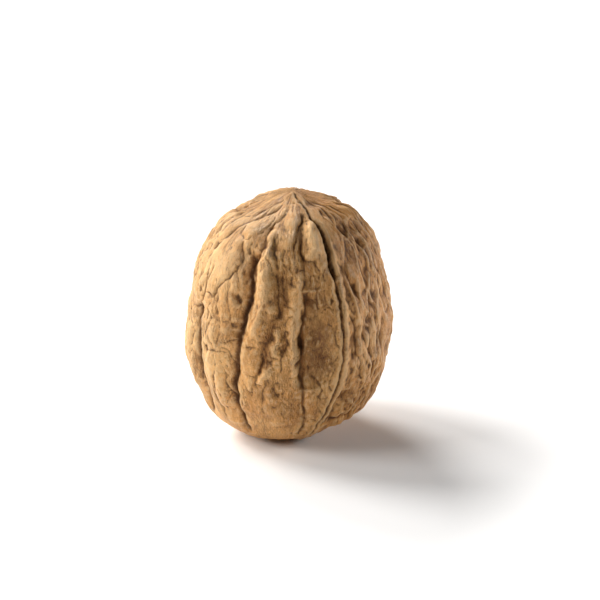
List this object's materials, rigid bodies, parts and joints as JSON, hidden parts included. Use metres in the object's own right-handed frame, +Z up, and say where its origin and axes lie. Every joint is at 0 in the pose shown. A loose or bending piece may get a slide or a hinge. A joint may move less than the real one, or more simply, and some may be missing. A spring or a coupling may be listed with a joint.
{
  "type": "walnut in its shell",
  "caption": "Whole walnut in its furrowed tan shell, egg-shaped with a raised seam and a pointed tip, standing upright on a small flat at its stem end.",
  "frame": {"origin": "on the flat at the stem end, under the middle of the part's box", "axes": "+Z up from the flat to the pointed tip; -Y towards the viewer of the picture; +X to that viewer's right"},
  "size_m": [0.0349, 0.035, 0.0416],
  "materials": {
    "shell": "matt natural nut shell, light tan on the ridges and dark brown in the furrows"
  },
  "bodies": {
    "root": {"walnut": "shell"}
  },
  "joints": []
}
